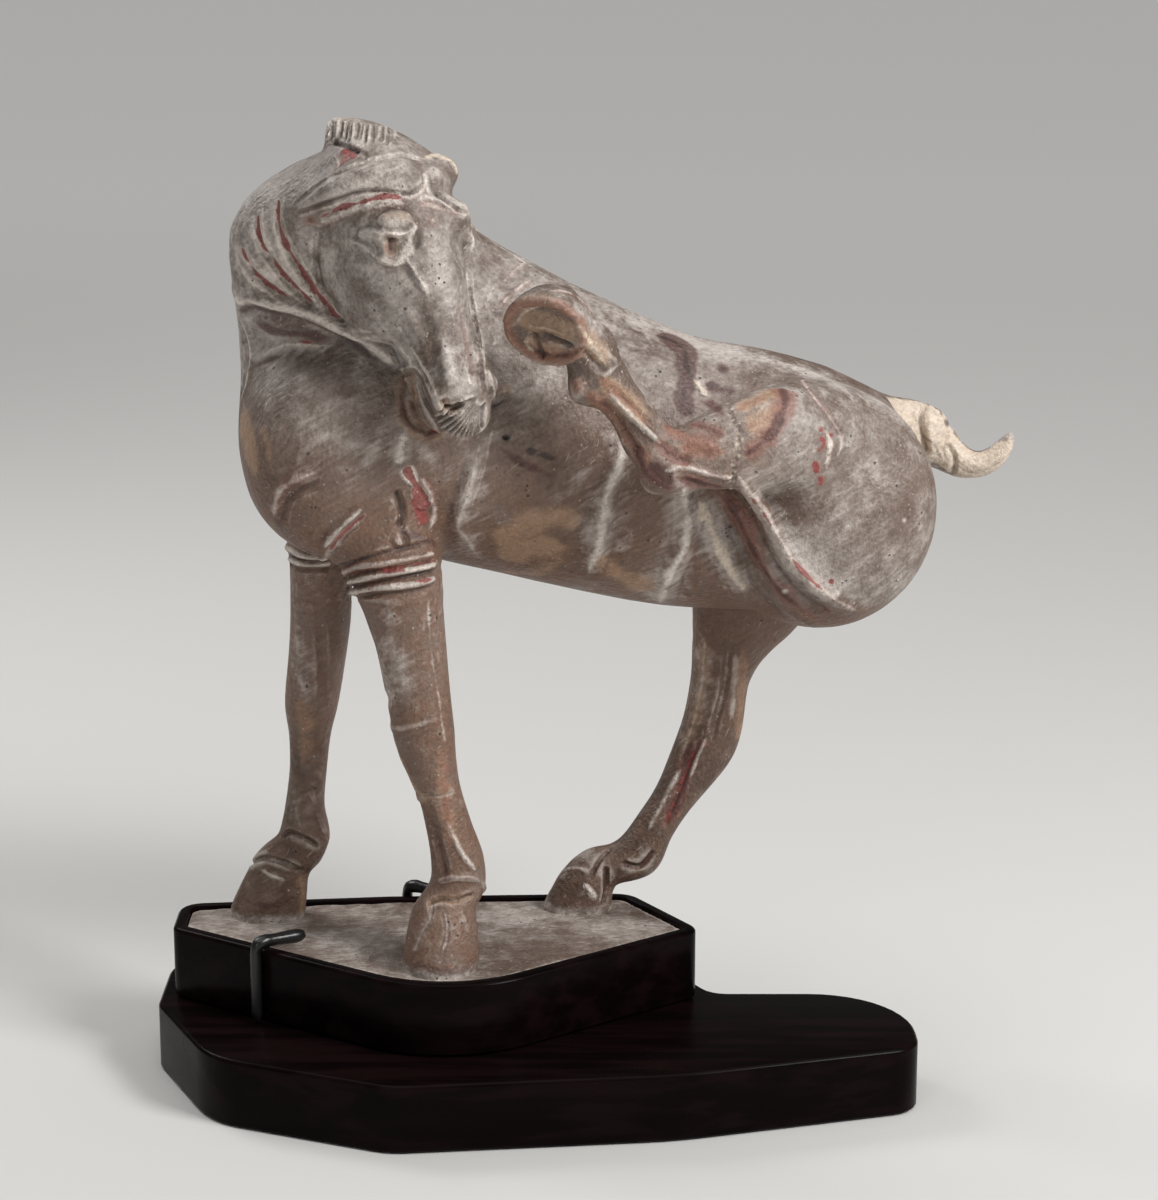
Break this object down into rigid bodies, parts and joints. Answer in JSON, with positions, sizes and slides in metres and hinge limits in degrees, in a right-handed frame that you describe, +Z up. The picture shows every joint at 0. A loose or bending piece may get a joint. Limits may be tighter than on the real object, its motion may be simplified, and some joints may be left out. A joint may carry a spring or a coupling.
{
  "type": "painted pottery horse figure",
  "caption": "Fired clay horse turning its head to bite at a lifted hind hoof, on its own slab, held by clips in a dark hardwood collar on a lower stand board.",
  "frame": {"origin": "on the stand's flat underside, in the plane that the object rests on", "axes": "+Z up, +X from the horse's breast towards its tail, +Y away from the side that the raised hind leg and the face are on"},
  "size_m": [0.3804, 0.1735, 0.4258],
  "materials": {
    "clay": "matte fired earthenware with remains of white slip, red pigment and burial soil",
    "board": "very dark polished hardwood",
    "clip": "black coated rod, satin"
  },
  "bodies": {
    "root": {"pottery_horse": "clay", "stand_collar": "board", "stand_plinth": "board", "left_clip": "clip", "rear_clip": "clip"}
  },
  "joints": []
}
